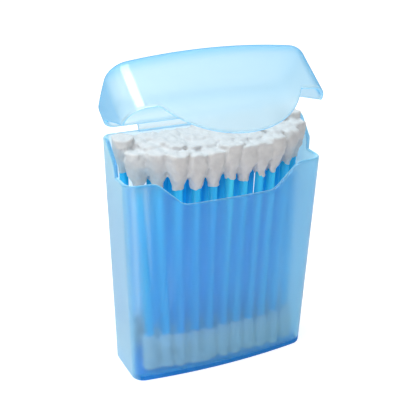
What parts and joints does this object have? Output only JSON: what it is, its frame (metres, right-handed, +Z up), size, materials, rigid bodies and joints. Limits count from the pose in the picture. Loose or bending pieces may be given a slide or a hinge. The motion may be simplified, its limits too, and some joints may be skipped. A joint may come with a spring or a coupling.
{
  "type": "cotton swab holder",
  "caption": "Slim translucent plastic box of cotton swabs standing in rows, with a notched low front and a domed lid that swings on a moulded-in hinge.",
  "frame": {"origin": "middle of the flat base that the box stands on, at the height of the surface under it", "axes": "+Z up along the swabs, +Y towards the hinged back, +X to the right seen from the front"},
  "size_m": [0.0672, 0.0395, 0.1024],
  "materials": {
    "clear_blue_plastic": "translucent pale blue polypropylene, glossy",
    "lid_plastic": "translucent pale blue polypropylene, glossy",
    "stick_plastic": "saturated blue plastic tube, glossy",
    "cotton": "white wound cotton, matte and slightly fuzzy"
  },
  "bodies": {
    "case": {"container": "clear_blue_plastic", "stick_01": "stick_plastic", "stick_02": "stick_plastic", "stick_03": "stick_plastic", "stick_04": "stick_plastic", "stick_05": "stick_plastic", "stick_06": "stick_plastic", "stick_07": "stick_plastic", "stick_08": "stick_plastic", "stick_09": "stick_plastic", "stick_10": "stick_plastic", "stick_11": "stick_plastic", "stick_12": "stick_plastic", "stick_13": "stick_plastic", "stick_14": "stick_plastic", "stick_15": "stick_plastic", "stick_16": "stick_plastic", "stick_17": "stick_plastic", "stick_18": "stick_plastic", "stick_19": "stick_plastic", "stick_20": "stick_plastic", "stick_21": "stick_plastic", "stick_22": "stick_plastic", "stick_23": "stick_plastic", "stick_24": "stick_plastic", "stick_25": "stick_plastic", "stick_26": "stick_plastic", "stick_27": "stick_plastic", "stick_28": "stick_plastic", "stick_29": "stick_plastic", "stick_30": "stick_plastic", "stick_31": "stick_plastic", "stick_32": "stick_plastic", "stick_33": "stick_plastic", "stick_34": "stick_plastic", "stick_35": "stick_plastic", "stick_36": "stick_plastic", "stick_37": "stick_plastic", "stick_38": "stick_plastic", "stick_39": "stick_plastic", "stick_40": "stick_plastic", "cotton_feet_row_1": "cotton", "cotton_feet_row_2": "cotton", "cotton_feet_row_3": "cotton", "cotton_feet_row_4": "cotton", "cotton_tops_row_1": "cotton", "cotton_tops_row_2": "cotton", "cotton_tops_row_3": "cotton", "cotton_tops_row_4": "cotton"},
    "lid": {"lid": "lid_plastic"}
  },
  "joints": [
    {"name": "lid_hinge", "type": "hinge", "parent": "case", "child": "lid", "pos_m": [0, 0.01085, 0.0788], "axis": [-1, 0, 0], "range_deg": [-57, 120]}
  ]
}
